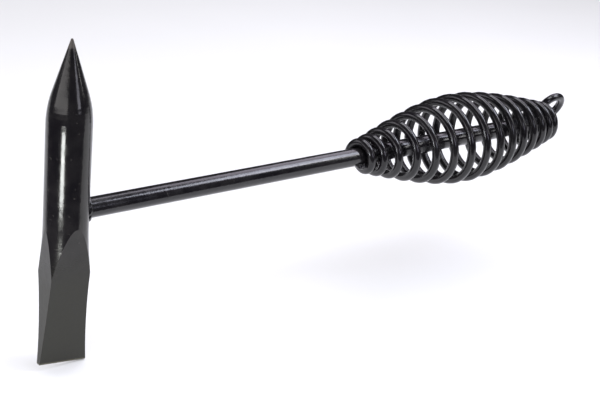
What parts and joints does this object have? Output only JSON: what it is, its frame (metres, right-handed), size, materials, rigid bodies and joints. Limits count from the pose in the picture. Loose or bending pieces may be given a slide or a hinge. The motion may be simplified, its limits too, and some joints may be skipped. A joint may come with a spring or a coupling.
{
  "type": "slag_hammer",
  "caption": "Welder's slag hammer: cone point and chisel on a forged head, round rod handle, barrel-shaped spring-wire grip and a wire hanging ring, all in gloss black enamel.",
  "frame": {"origin": "middle of the spring-wire grip, on the axis of the handle rod", "axes": "+X along the handle rod from the head towards the hanging ring; +Z the way the cone point stands; the chisel's edge lies along X"},
  "size_m": [0.2982, 0.042, 0.13],
  "materials": {
    "head_enamel": "gloss",
    "rod_enamel": "gloss",
    "wire_enamel": "gloss",
    "weld_enamel": "gloss"
  },
  "bodies": {
    "root": {"head": "head_enamel", "handle_rod": "rod_enamel", "head_weld": "weld_enamel", "grip_coil": "wire_enamel", "front_coil_weld": "weld_enamel", "rear_coil_weld": "weld_enamel", "hanging_ring": "wire_enamel", "ring_weld": "weld_enamel"}
  },
  "joints": []
}
